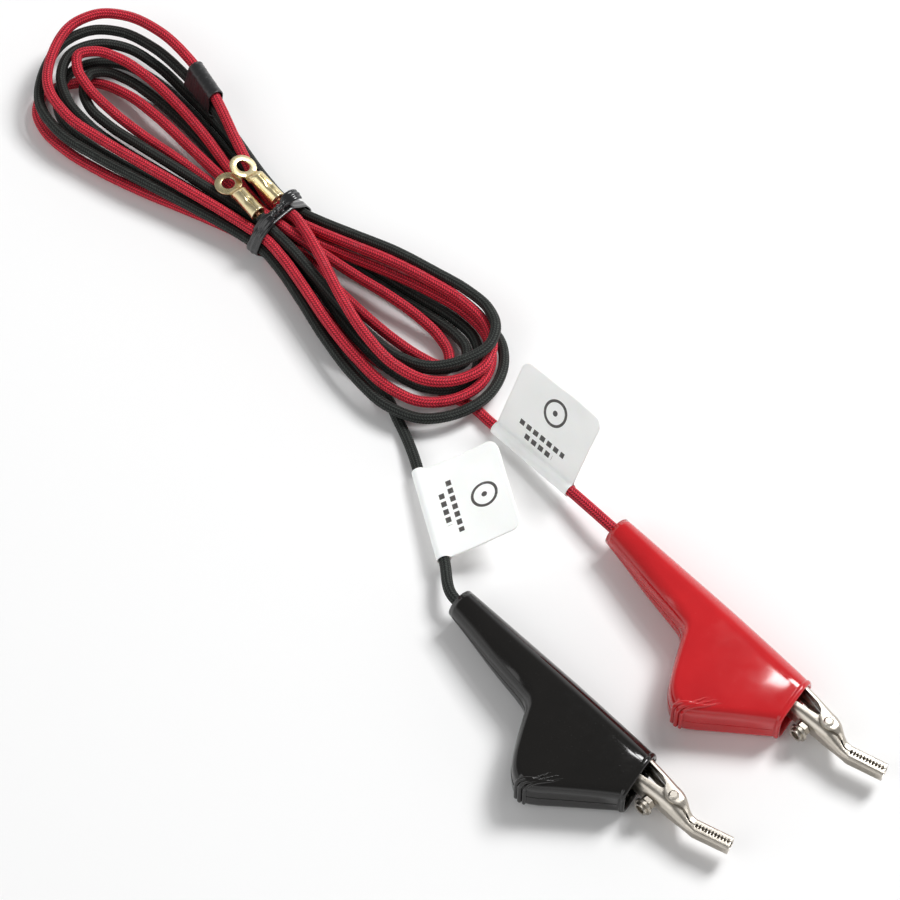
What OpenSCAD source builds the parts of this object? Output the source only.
// Test lead set: two braided leads, each with a crimped ring terminal at one
// end and a booted long-nose clip at the other. The slack is wound into a flat
// hank and tied in the middle. Millimetres, +Z up, the resting plane is z = 0,
// the origin is on that plane under the middle of the tie, and +X runs along
// the hank towards the clips.
// Suffixes: _d diameter, _r radius, _w width, _hw half width, _t thickness.

/* [Leads] */
// Diameter of the braided cord
cord_d = 2.9; // [2.4:0.1:3.0]
// Flat sides used to draw the cord round
cord_sides = 8; // [6:2:12]
// Steps between two control points of a cord
cord_steps = 2; // [1:1:4]
// Diameter of the stranded copper core
core_d = 1.3; // [0.8:0.1:1.8]

/* [Hank] */
// Scale on how far each turn reaches from the tie
reach_scale = 1; // [0.9:0.01:1.1]
// Width of the tie ribbon along the hank
tie_w = 4; // [2.5:0.1:6]
// Thickness of the tie ribbon
tie_t = 0.7; // [0.4:0.1:1.2]
// Middle of the tie along the hank
tie_x = 1.2; // [0.5:0.1:3]

/* [Yoke sleeve] */
// Outer radius of the sleeve round each cord
yoke_r = 2.4; // [1.9:0.05:2.6]
// Bore radius round each cord
yoke_bore_r = 1.62; // [1.5:0.01:1.8]
// Length of the sleeve
yoke_len = 12.5; // [10:0.5:20]
// How far the sleeve sits from the widest point of the turn, towards the tie
yoke_shift = 2.2; // [0:0.1:4]

/* [Ring terminals] */
// Outer diameter of the ring
ring_od = 7.7; // [6:0.1:10]
// Stud hole diameter, clearance on a number 6 stud
ring_hole_d = 3.8; // [3.2:0.1:5.5]
// Plate thickness
ring_t = 0.8; // [0.5:0.1:1.2]
// Barrel outer diameter
barrel_od = 4.4; // [3:0.1:5]
// Barrel bore diameter
barrel_id = 2.6; // [1.6:0.1:3]
// Barrel length
barrel_len = 8.6; // [6:0.1:12]
// Ring centre to barrel mouth
ring_to_mouth = 14.4; // [12:0.1:20]
// Bare core left between the jacket and the barrel
ring_gap = 0.65; // [0.3:0.05:1.5]

/* [Labels] */
// Length of the label along the cord
label_len = 29; // [20:0.5:40]
// Width of the flag standing out from the cord
flag_w = 22.5; // [15:0.5:30]
// Thickness of the doubled flag
flag_t = 0.4; // [0.2:0.05:1]
// Corner radius of the flag
flag_r = 3; // [1:0.5:6]

/* [Clips] */
// Full thickness of the boot on its flat sides
boot_t = 12; // [10:0.5:14]
// Wall of the boot
boot_wall = 1.3; // [0.8:0.1:2]
// Outer radius of the boot at the cord end
boot_end_r = 4.15; // [3.5:0.05:5]
// Sheet thickness of the two arms
sheet_t = 0.7; // [0.5:0.05:0.9]
// Outer half width of the fixed arm
arm_hw = 3.9; // [3.5:0.1:4.5]
// Outer half width of the lever arm
lever_hw = 3.1; // [2.8:0.05:3.1]
// Half width of the nose at its root
nose_hw = 1.9; // [1.5:0.1:2.2]
// Number of teeth along the nose
teeth = 10; // [6:1:12]
// Rivet radius
rivet_r = 1; // [0.8:0.05:1.2]
// Running clearance on the rivet
rivet_gap = 0.05; // [0.02:0.01:0.1]
// Flange radius of the stud
stud_r = 2.5; // [2:0.1:3]
// Spring wire diameter
wire_d = 0.6; // [0.4:0.05:0.8]
// Coils in the spring
coils = 6; // [4:1:8]

/* [Hidden] */
cord_r = cord_d/2;
core_r = core_d/2;
clip_z = boot_t/2;
hinge_back = 2.2;          // ball of the clip's cord stub, behind the boot's cord end
ball_gap = cord_r + 0.15;  // from a swing centre to the end of the next cord

red_cover = [0.78, 0.08, 0.14];
black_cover = [0.10, 0.11, 0.10];
red_rubber = [0.75, 0.12, 0.14];
black_rubber = [0.12, 0.11, 0.11];
tie_black = [0.08, 0.08, 0.08];
yoke_black = [0.07, 0.07, 0.07];
ring_yellow = [0.86, 0.78, 0.52];
copper = [0.72, 0.45, 0.28];
label_white = [0.94, 0.94, 0.94];
sheet_grey = [0.66, 0.63, 0.60];
rivet_grey = [0.72, 0.70, 0.68];
wire_grey = [0.55, 0.55, 0.56];

// the eight stations of a strand on its way out: fraction of the reach,
// share of the sideways move, share of the height change
reach_share = [0.045, 0.13, 0.28, 0.45, 0.62, 0.77, 0.89, 0.965];
side_share = [0, 0.10, 0.36, 0.68, 0.92, 1, 0.86, 0.52];
height_share = [0, 0.22, 0.62, 1, 1, 0.72, 0.35, 0.08];

// one row per half turn: side of the tie, reach, then [y, z] of the far end,
// of the outgoing strand at its widest and of the returning one
red_turns = [
  [ 1, 75.7, [-0.8, 8.2], [-17.9, 12.4], [11, 8.7]],
  [-1, 87.9, [12.4, 11.5], [25.8, 10.9], [-12.4, 8.9]],
  [ 1, 77.4, [-4.8, 5.1], [-22.5, 8.1], [10.2, 5.4]],
  [-1, 79.6, [4.8, 10.6], [13.6, 5.7], [-1.6, 5.1]],
  [ 1, 65.5, [-4.2, 1.8], [-7.5, 2.8], [1.6, 5]],
  [-1, 82.8, [-7.9, 1.6], [7.1, 4.1], [-17.9, 2.2]]];
black_turns = [
  [ 1, 73.7, [3.6, 11.4], [-14.1, 8], [14.1, 8.6]],
  [-1, 87.5, [8.1, 8], [22.5, 6.8], [-16.7, 6.5]],
  [ 1, 81, [-5.5, 4.55], [-26.1, 5.1], [12.5, 1.8]],
  [-1, 82.7, [4.3, 8.8], [20.1, 1.8], [-8.6, 3.6]],
  [ 1, 69.3, [-1.3, 4.6], [-11.4, 1.7], [4.7, 1.6]],
  [-1, 75.5, [4.7, 5.4], [11.6, 1.8], [-5.7, 6.6]],
  [ 1, 74.2, [-5.7, 4.6], [-16.8, 5.1], [8.1, 1.8]],
  [-1, 80.6, [1.2, 4.8], [16.3, 1.8], [-13.5, 4.6]]];
// [y, z] of each pass under the tie, in order along the lead
red_slots = [
  [2.7, 9.2], [3.3, 5.9], [-7.7, 7.9], [0.4, 4.8], [-1.2, 2.2], [-1.4, 8], [-7.6, 2.4]];
black_slots = [
  [-4.5, 8.4], [7.2, 4.9], [-9.4, 5.1], [8.5, 2.2], [-4.4, 2.2], [2, 2.2], [-2.9, 5.1],
  [5.2, 2.2], [-6.1, 5.1]];
// [x, y, z] from the ring barrel to the tie, and from the tie to where the tail swings
red_in = [[-1.7, 3.4, 10.1], [0.9, 2.6, 8.9]];
black_in = [[-2.2, -4.15, 10.8], [0.5, -4.45, 9.6]];
red_out = [
  [3.5, -7.6, 2.4], [12, -9.1, 2.1], [24, -12.1, 1.8], [38, -14.5, 1.7],
  [52, -15.2, 1.6], [63, -12.5, 1.6], [73, -11, 1.6]];
black_out = [
  [3.5, -6.1, 5.1], [12, -8.4, 5], [24, -12.6, 4.9], [36, -17.4, 4.3],
  [50, -20.6, 1.9], [60, -22.8, 1.6], [66, -25.9, 1.6]];

// each clip: cord end of the boot and the turn about Z of its long axis
red_clip_at = [134.1, -17.76, clip_z];
red_clip_turn = -7.05;
black_clip_at = [116.63, -60.36, clip_z];
black_clip_turn = -5.8;
// each label sleeve: start, end, and the way the flag stands out
red_sleeve = [[88, -11.2, 2.1], [116.7, -15.1, 4.5]];
red_flag_dir = [0.043, 0.515, 0.856];
black_sleeve = [[81.5, -35.4, 2.6], [104.8, -52.6, 4.6]];
black_flag_dir = [0.563, 0.767, 0.304];
// the way each ring lies from its cord end, and the roll of each terminal
red_ring_dir = [-14.8, 1.9, 2.6];
red_ring_roll = 12;
black_ring_dir = [-15.1, 3.3, -0.1];
black_ring_roll = 0;

// ---- helpers ----------------------------------------------------------------
function unit(v) = v/norm(v);
function last(list) = list[len(list) - 1];
function reversed(list) = [for (i = [len(list)-1:-1:0]) list[i]];
function blend(from, to, share) = from + (to - from)*share;

// smooth curve through the control points; one more is mirrored past each end
function point_at(list, i) =
  i < 0 ? 2*list[0] - list[1]
  : i >= len(list) ? 2*last(list) - list[len(list)-2]
  : list[i];
function tangent(before, here, after) =
  let (near = norm(here - before), far = norm(after - here))
  ((here - before)/near*far + (after - here)/far*near)/(near + far);
function hermite(start, end, start_slope, end_slope, t) =
  (2*t*t*t - 3*t*t + 1)*start + (t*t*t - 2*t*t + t)*start_slope
  + (3*t*t - 2*t*t*t)*end + (t*t*t - t*t)*end_slope;
function smooth(list, steps) = concat(
  [for (i = [0:len(list)-2])
    let (
      start = list[i],
      end = list[i+1],
      span = norm(end - start),
      start_slope = tangent(point_at(list, i-1), start, end)*span,
      end_slope = tangent(start, end, point_at(list, i+2))*span)
    for (j = [0:steps-1]) hermite(start, end, start_slope, end_slope, j/steps)],
  [last(list)]);

// round bar along a path; start_radii replace r at the first points
module sweep(path, r, sides, start_radii = []) {
  count = len(path);
  radii = [for (i = [0:count-1]) i < len(start_radii) ? start_radii[i] : r];
  along = [for (i = [0:count-1]) unit(path[min(i+1, count-1)] - path[max(i-1, 0)])];
  across = [for (v = along) unit(cross([0, 0, 1], v))];
  points = [for (i = [0:count-1]) for (j = [0:sides-1])
    let (angle = 360*(j + 0.5)/sides)
    path[i] + radii[i]*(cos(angle)*across[i] + sin(angle)*cross(along[i], across[i]))];
  caps = [[for (j = [0:sides-1]) j], [for (j = [sides-1:-1:0]) (count-1)*sides + j]];
  lower = [for (i = [0:count-2]) for (j = [0:sides-1])
    [i*sides + j, (i+1)*sides + j, (i+1)*sides + (j+1)%sides]];
  upper = [for (i = [0:count-2]) for (j = [0:sides-1])
    [i*sides + j, (i+1)*sides + (j+1)%sides, i*sides + (j+1)%sides]];
  polyhedron(points = points, faces = concat(caps, lower, upper), convexity = 10);
}

// puts local +X along x_dir and local +Y towards y_hint, with the origin at place
module frame_at(place, x_dir, y_hint) {
  x = unit(x_dir);
  z = unit(cross(x, y_hint));
  y = cross(z, x);
  multmatrix([
    [x[0], y[0], z[0], place[0]],
    [x[1], y[1], z[1], place[1]],
    [x[2], y[2], z[2], place[2]],
    [0, 0, 0, 1]]) children();
}
// moves the middle of the tie over the origin
module at_origin() translate([-tie_x, 0, 0]) children();
// solid cylinder along +X, starting at x
module rod_x(r, length, x = 0, fn = 48)
  translate([x, 0, 0]) rotate([0, 90, 0]) cylinder(r = r, h = length, $fn = fn);

// ---- hank -------------------------------------------------------------------
// one strand from its slot under the tie outwards; wide is [y, z] at its widest
function strand(turn, slot, wide) = [for (i = [0:7]) [
  turn[0]*turn[1]*reach_scale*reach_share[i],
  blend(i < 6 ? slot[0] : turn[2][0], wide[0], side_share[i]),
  blend(i < 4 ? slot[1] : turn[2][1], wide[1], height_share[i])]];
function half_turn(turn, slot_out, slot_back) = concat(
  strand(turn, slot_out, turn[3]),
  [[turn[0]*turn[1]*reach_scale, turn[2][0], turn[2][1]]],
  reversed(strand(turn, slot_back, turn[4])));
function lead(start, turns, slots, end) = concat(
  start,
  [for (i = [0:len(turns)-1]) for (p = half_turn(turns[i], slots[i], slots[i+1])) p],
  end);
module lead_cord(start, turns, slots, end)
  sweep(smooth(lead(start, turns, slots, end), cord_steps), cord_r, cord_sides);

module red_cord() at_origin() color(red_cover) lead_cord(red_in, red_turns, red_slots, red_out);
module black_cord()
  at_origin() color(black_cover) lead_cord(black_in, black_turns, black_slots, black_out);

// [y, z] of the cord centres the tie wraps round
tie_corners = [
  [-7.6, 2.4], [8.5, 2.4], [-9.4, 5.1], [-7.7, 7.9], [-4.5, 9.6], [2.7, 9.4], [7.2, 5.2]];
tie_bore_r = cord_r + 0.3;
tie_top_z = 12.7;
tie_end_w = 3.6;
module tie_outline(r) hull() for (p = tie_corners) translate(p) circle(r = r, $fn = 32);
// flat ribbon end, tilted about X by tilt and swung about Z by swing
module tie_end(y, tilt, swing, length)
  translate([tie_x, y, tie_top_z]) rotate([tilt, 0, swing])
    translate([-tie_end_w/2, -tie_t/2, 0]) cube([tie_end_w, tie_t, length]);
module tie_band() at_origin() color(tie_black) union() {
  translate([tie_x - tie_w/2, 0, 0]) rotate([90, 0, 90]) difference() {
    linear_extrude(tie_w) tie_outline(tie_bore_r + tie_t);
    translate([0, 0, -1]) linear_extrude(tie_w + 2) tie_outline(tie_bore_r);
  }
  // twisted stem and the two ribbon ends, lying over the top
  translate([tie_x, -3.6, tie_top_z]) rotate([-90, 0, 0])
    linear_extrude(height = 6, twist = 400, slices = 18) square([tie_w - 0.4, 1.2], center = true);
  tie_end(y = -3.2, tilt = 118, swing = 8, length = 4.6);
  tie_end(y = 2, tilt = -58, swing = 12, length = 5.6);
}

// the yoke sleeve follows the chords of the two strands it grips
module yoke_rod(turn, slot, r, length, fn) {
  stations = strand(turn, slot, turn[3]);
  inner = stations[3];
  outer = stations[4];
  frame_at((inner + outer)/2, unit(outer - inner), [0, 0, 1])
    rod_x(r, length, -length/2 - yoke_shift, fn);
}
module yoke_sleeve() at_origin() color(yoke_black) difference() {
  hull() {
    yoke_rod(red_turns[1], red_slots[1], yoke_r, yoke_len, 32);
    yoke_rod(black_turns[1], black_slots[1], yoke_r, yoke_len, 32);
  }
  yoke_rod(red_turns[1], red_slots[1], yoke_bore_r, yoke_len + 2, 48);
  yoke_rod(black_turns[1], black_slots[1], yoke_bore_r, yoke_len + 2, 48);
}

// ---- ring terminals ---------------------------------------------------------
// local +X runs from the barrel mouth to the ring
module ring_terminal(cord_end, dir, roll) {
  barrel_r = barrel_od/2;
  plate_z = -barrel_r + 0.5;
  neck_x = barrel_len - 0.6;
  neck_len = ring_to_mouth - barrel_len - 1.6;
  neck_w = 3.4;
  dimple_r = 0.95;
  seam_w = 0.2;
  frame_at(cord_end + ring_gap*unit(dir), dir, cross([0, 0, 1], dir))
  rotate([roll, 0, 0]) difference() {
    union() {
      rod_x(barrel_r, barrel_len);
      translate([ring_to_mouth, 0, plate_z]) cylinder(d = ring_od, h = ring_t, $fn = 64);
      translate([neck_x, -neck_w/2, plate_z]) cube([neck_len, neck_w, ring_t]);
      // end of the barrel, cut on a slant so that it reaches out at the top
      intersection() {
        rod_x(barrel_r, 3, neck_x);
        translate([neck_x, 0, 0]) rotate([0, 34, 0]) translate([-5, -3, -6]) cube([5.5, 6, 8]);
      }
    }
    // bore, stopping short of the ring end
    rod_x(barrel_id/2, barrel_len + 0.2, -1);
    translate([ring_to_mouth, 0, -5]) cylinder(d = ring_hole_d, h = 10, $fn = 64);
    // seam groove and dimple along the top
    translate([-1, -seam_w/2, barrel_r - 0.35]) cube([barrel_len + 1.2, seam_w, 2]);
    translate([barrel_len*0.45, 0, barrel_r + 0.55]) sphere(r = dimple_r, $fn = 32);
  }
}
// bare core inside the barrel
module core_tip(cord_end, dir)
  frame_at(cord_end, dir, cross([0, 0, 1], dir)) rod_x(core_r, barrel_len - 1.5, 0.35, 32);

module red_ring()
  at_origin() color(ring_yellow) ring_terminal(red_in[0], red_ring_dir, red_ring_roll);
module black_ring()
  at_origin() color(ring_yellow) ring_terminal(black_in[0], black_ring_dir, black_ring_roll);
module red_core_tip() at_origin() color(copper) core_tip(red_in[0], red_ring_dir);
module black_core_tip() at_origin() color(copper) core_tip(black_in[0], black_ring_dir);

// ---- tails and labels -------------------------------------------------------
// a tail runs from its swing centre past the end of a lead, through the label
// sleeve, to just short of the ball on the clip's stub
function end_dir(list) = unit(last(list) - list[len(list)-2]);
function clip_hinge(at, angle) = at - hinge_back*[cos(angle), sin(angle), 0];
function tail(out, sleeve, clip_at, clip_turn) =
  let (
    along = unit(sleeve[1] - sleeve[0]),
    swing = last(out) + ball_gap*end_dir(out),
    hinge = clip_hinge(clip_at, clip_turn))
  [swing,
   swing + 5*end_dir(out) - [0, 0, 0.08],
   sleeve[0] - 2.5*along,
   sleeve[0],
   sleeve[0] + 10*along,
   sleeve[1] - 10*along,
   sleeve[1],
   hinge - ball_gap*unit(hinge - sleeve[1])];

// the cord starts with a ball end, centred where the tail swings
module tail_cord(out, sleeve, clip_at, clip_turn) {
  path = smooth(tail(out, sleeve, clip_at, clip_turn), 2);
  ball_angles = [8, 30, 52, 72];
  ball = [for (angle = ball_angles) path[0] - cord_r*cos(angle)*end_dir(out)];
  sweep(concat(ball, path), cord_r, 12, [for (angle = ball_angles) cord_r*sin(angle)]);
}
// sleeve along local +X, with the flag standing out along local +Y
module label(sleeve, flag_dir) frame_at(sleeve[0], sleeve[1] - sleeve[0], flag_dir) difference() {
  union() {
    rod_x(cord_r + 0.5, label_len);
    translate([0, 0, -flag_t/2]) {
      cube([label_len, flag_w - flag_r, flag_t]);
      translate([flag_r, 0, 0]) cube([label_len - 2*flag_r, flag_w, flag_t]);
      for (x = [flag_r, label_len - flag_r])
        translate([x, flag_w - flag_r, 0]) cylinder(r = flag_r, h = flag_t, $fn = 48);
    }
  }
  rod_x(cord_r + 0.12, label_len + 2, -1);
}

module red_tail_cord()
  at_origin() color(red_cover) tail_cord(red_out, red_sleeve, red_clip_at, red_clip_turn);
module black_tail_cord()
  at_origin() color(black_cover)
    tail_cord(black_out, black_sleeve, black_clip_at, black_clip_turn);
module red_label() at_origin() color(label_white) label(red_sleeve, red_flag_dir);
module black_label() at_origin() color(label_white) label(black_sleeve, black_flag_dir);

// ---- clip, drawn with its long axis on X and the pivot along Z --------------
pivot = [77, -1.6];
stud_x = 72.8;
nose_root = [85, -3.2];
nose_angle = 17.4;
nose_len = 10.6;

// corners of the boot's hump, inset by hump_r; two of them lie past the mouth
hump_r = 3;
hump = [
  [36.5, 1.45], [68, 1.15], [69.6, -6.7], [49.8, -24], [48.7, -24.1], [47.4, -23.75],
  [45.9, -22.9], [44.5, -21], [41.3, -15.8], [39.5, -12.8], [38.6, -10.2]];
// steps that round the hump's edges: corner radius, thickness taken off boot_t
hump_steps = [[hump_r, 4.4], [2.3, 2], [1.2, 0]];
// ridges across the hump's -Y edge
ridge_x = 42.2;
ridge_pitch = 3;
ridge_y = [-22.3, -25.7, -26.9, -26.5];
// wide end of the cones that run from the cord end into the hump
cone_end = [38, -3.2];

module hump_slab(r, thickness)
  linear_extrude(thickness, center = true) hull() for (p = hump) translate(p) circle(r = r, $fn = 32);
// a cone between two [x, y] places, flattened to a half thickness
module flat_cone(start, start_r, end, end_r, half_t) intersection() {
  frame_at([start.x, start.y, 0], [end.x - start.x, end.y - start.y, 0], [0, 1, 0])
    rotate([0, 90, 0]) cylinder(r1 = start_r, r2 = end_r, h = end.x - start.x, $fn = 64);
  translate([-5, -20, -half_t]) cube([60, 40, 2*half_t]);
}
module boot() difference() {
  union() {
    difference() {
      union() for (step = hump_steps) hump_slab(step[0], boot_t - step[1]);
      // slanted mouth
      translate([64.7, 4.6, 0]) rotate([0, 0, -76.2]) translate([-12, 0, -20]) cube([60, 40, 40]);
    }
    flat_cone([0, -0.1], boot_end_r, cone_end, 7.65, boot_t/2);
    for (i = [0:3]) translate([ridge_x + ridge_pitch*i, ridge_y[i], 0])
      cylinder(r = 0.55, h = boot_t - 5, center = true, $fn = 24);
  }
  // hollow
  hump_slab(hump_r - boot_wall, boot_t - 2*boot_wall - 2);
  hump_slab(hump_r - boot_wall - 0.5, boot_t - 2*boot_wall);
  flat_cone([11, -1], boot_end_r - 0.4, cone_end, 6.3, boot_t/2 - boot_wall);
  rod_x(cord_r + 0.2, 14, -1);
}

// a point of the bent nose; across is positive towards the fixed arm
function nose_point(along, across) = nose_root + [
  along*cos(nose_angle) - across*sin(nose_angle),
  along*sin(nose_angle) + across*cos(nose_angle)];

// [x, y] side outlines of the two arms and of the hollows that leave their sheet
arm_outline = [
  [38, 2.1], [66, 2.1], [77.5, 1.35], [79.6, 0.6], [81.6, -0.8],
  nose_point(0.2, 1.9), nose_point(nose_len, 1.9),
  nose_point(nose_len, 0.05), nose_point(0, 0.05),
  [82.8, -2.6], [81.3, -2.25], [80.4, -1.95], [79.9, -2.5], [79.4, -3], [78.2, -3.4],
  [75.9, -3.4], [74.6, -2.5], [73.6, -0.8], [72, 0.2], [66, 0.9], [60, 1], [38, 1]];
arm_hollow = [
  [39, 1.4], [66, 1.4], [77.3, 0.65], [79.1, 0], [81.1, -1.4],
  nose_point(-0.1, 1.2), nose_point(12, 1.2), nose_point(12, -6), [39, -6]];
lever_outline = [
  nose_point(nose_len, -0.05), nose_point(0, -0.05),
  [82.6, -2.9], [81.2, -2.45], [80, -2.2], [79.2, -0.9], [78.6, -0.1], [78, 0.1],
  [75.5, 0.1], [74.2, -0.9], [73, -2.1], [67.6, -2.7], [62.4, -5.3], [51.2, -20.6],
  [47.5, -22], [46, -22.6], [45.8, -23.6], [47.5, -24.4], [51.9, -23.7], [63.2, -8.2],
  [66.5, -5.7], [73, -5.4], [79, -5.2],
  nose_point(0.3, -1.9), nose_point(nose_len, -1.9)];
lever_hollow = [
  nose_point(12.5, -1.2), nose_point(0.2, -1.2),
  [79, -4.5], [73, -4.7], [66.8, -5], [62.6, -7.8], [51.3, -23.2], [47.6, -23.6],
  [44, -22.9], [44, 6], [99, 6]];

module side(outline) linear_extrude(12, center = true) polygon(outline);
// outline seen along Y: half width root_w from x[0] to x[1], easing to bend_w at
// x[2] and to bend_w - narrowing at x[3]
module plan_taper(x, root_w, bend_w, narrowing) {
  half = [[x[0], root_w], [x[1], root_w], [x[2], bend_w], [x[3], bend_w - narrowing]];
  rotate([90, 0, 0]) linear_extrude(80, center = true)
    polygon(concat([for (p = half) [p.x, -p.y]], reversed(half)));
}
module tooth_cuts(across) for (i = [0:teeth-1])
  translate(nose_point(1 + i*9.2/teeth, across)) rotate([0, 0, nose_angle])
    linear_extrude(8, center = true) polygon([[-0.36, 0], [0, 0.42], [0.36, 0], [0, -0.42]]);
module pivot_hole()
  translate([pivot.x, pivot.y, -6]) cylinder(r = rivet_r + rivet_gap, h = 12, $fn = 48);

module arm() difference() {
  union() {
    intersection() {
      side(arm_outline);
      plan_taper([38, 80, 84.5, 96], arm_hw, nose_hw, 0.2);
    }
    // barrel round the core and the strip that joins it to the arm
    rod_x(1.75, 8, 30.5);
    translate([33, 1, -1.2]) cube([6, 1.1, 2.4]);
  }
  intersection() {
    side(arm_hollow);
    plan_taper([38.5, 79.6, 84.1, 98], arm_hw - sheet_t, nose_hw - sheet_t, 0.15);
  }
  rod_x(core_r + 0.05, 12, 29);
  pivot_hole();
  tooth_cuts(0.05);
}
module lever() difference() {
  intersection() {
    side(lever_outline);
    plan_taper([44, 79.6, 84.4, 97], lever_hw, nose_hw, 0.2);
  }
  intersection() {
    side(lever_hollow);
    plan_taper([43, 79.2, 84, 99], lever_hw - sheet_t, nose_hw - sheet_t, 0.15);
  }
  pivot_hole();
  // hole for the stud
  translate([stud_x, -8, 0]) rotate([-90, 0, 0]) cylinder(r = 0.8, h = 6, $fn = 32);
  tooth_cuts(-0.05);
}
module rivet() translate([pivot.x, pivot.y, 0]) {
  head_r = 1.35;
  face_r = 0.9;
  cylinder(r = rivet_r, h = 2*arm_hw + 0.6, center = true, $fn = 48);
  for (s = [-1, 1]) translate([0, 0, s*(arm_hw + 0.28)])
    cylinder(r1 = s > 0 ? head_r : face_r, r2 = s > 0 ? face_r : head_r, h = 0.5,
      center = true, $fn = 48);
}
module wire(start, end)
  frame_at(start, end - start, [0, 0, 1]) rod_x(wire_d/2, norm(end - start), 0, 24);
// the coil is one ribbed sleeve: each rib is a turn of the wire
module spring() {
  half_len = wire_d*coils/2;
  bore_r = 1.3;
  outer_r = bore_r + wire_d;
  groove_r = outer_r - 0.22;
  leg_z = half_len - wire_d;
  ribs = [for (i = [0:coils-1]) each [
    [groove_r, -half_len + i*wire_d],
    [outer_r, -half_len + (i + 0.3)*wire_d],
    [outer_r, -half_len + (i + 0.7)*wire_d]]];
  translate([pivot.x, pivot.y, 0]) rotate_extrude($fn = 48)
    polygon(concat([[bore_r, -half_len]], ribs, [[groove_r, half_len], [bore_r, half_len]]));
  wire([77.5, -0.12, leg_z], [66.5, 0.95, leg_z]);
  wire([76.3, -2.8, -leg_z], [68, -4.5, -leg_z]);
}
// hollow-topped stud standing out from the lever towards -Y
module stud() translate([stud_x, -5.52, 0]) rotate([90, 0, 0]) difference() {
  union() {
    translate([0, 0, -1.3]) cylinder(r = 0.75, h = 1.5, $fn = 32);
    cylinder(r = 1.9, h = 1.2, $fn = 6);
    cylinder(r = 1.5, h = 2.4, $fn = 32);
    translate([0, 0, 1.9]) cylinder(r = stud_r, h = 0.7, $fn = 48);
    translate([0, 0, 2.4]) cylinder(r = 1.85, h = 1, $fn = 48);
  }
  translate([0, 0, 2]) cylinder(r = 1.25, h = 3, $fn = 32);
}
// cord end inside the boot, with the ball it swings on
module stub() {
  rod_x(cord_r, 26.2, -hinge_back);
  translate([-hinge_back, 0, 0]) sphere(r = cord_r, $fn = 48);
}
module core() rod_x(core_r, 12.5, 24.05, 32);
module crimp() difference() {
  union() {
    rod_x(cord_r + 0.65, 4.6, 18.6);
    for (x = [19.6, 21.6]) rod_x(cord_r + 0.85, 0.8, x);
  }
  rod_x(cord_r + 0.03, 8, 17);
}

module on_clip(at, angle) at_origin() translate(at) rotate([0, 0, angle]) children();
module on_red() on_clip(red_clip_at, red_clip_turn) children();
module on_black() on_clip(black_clip_at, black_clip_turn) children();

module red_boot() color(red_rubber) on_red() boot();
module red_arm() color(sheet_grey) on_red() arm();
module red_lever() color(sheet_grey) on_red() lever();
module red_rivet() color(rivet_grey) on_red() rivet();
module red_spring() color(wire_grey) on_red() spring();
module red_stud() color(rivet_grey) on_red() stud();
module red_stub() color(red_cover) on_red() stub();
module red_core() color(copper) on_red() core();
module red_crimp() color(sheet_grey) on_red() crimp();

module black_boot() color(black_rubber) on_black() boot();
module black_arm() color(sheet_grey) on_black() arm();
module black_lever() color(sheet_grey) on_black() lever();
module black_rivet() color(rivet_grey) on_black() rivet();
module black_spring() color(wire_grey) on_black() spring();
module black_stud() color(rivet_grey) on_black() stud();
module black_stub() color(black_cover) on_black() stub();
module black_core() color(copper) on_black() core();
module black_crimp() color(sheet_grey) on_black() crimp();

red_cord();
black_cord();
tie_band();
yoke_sleeve();
red_ring();
black_ring();
red_core_tip();
black_core_tip();
red_tail_cord();
black_tail_cord();
red_label();
black_label();
red_boot();
red_arm();
red_lever();
red_rivet();
red_spring();
red_stud();
red_stub();
red_core();
red_crimp();
black_boot();
black_arm();
black_lever();
black_rivet();
black_spring();
black_stud();
black_stub();
black_core();
black_crimp();
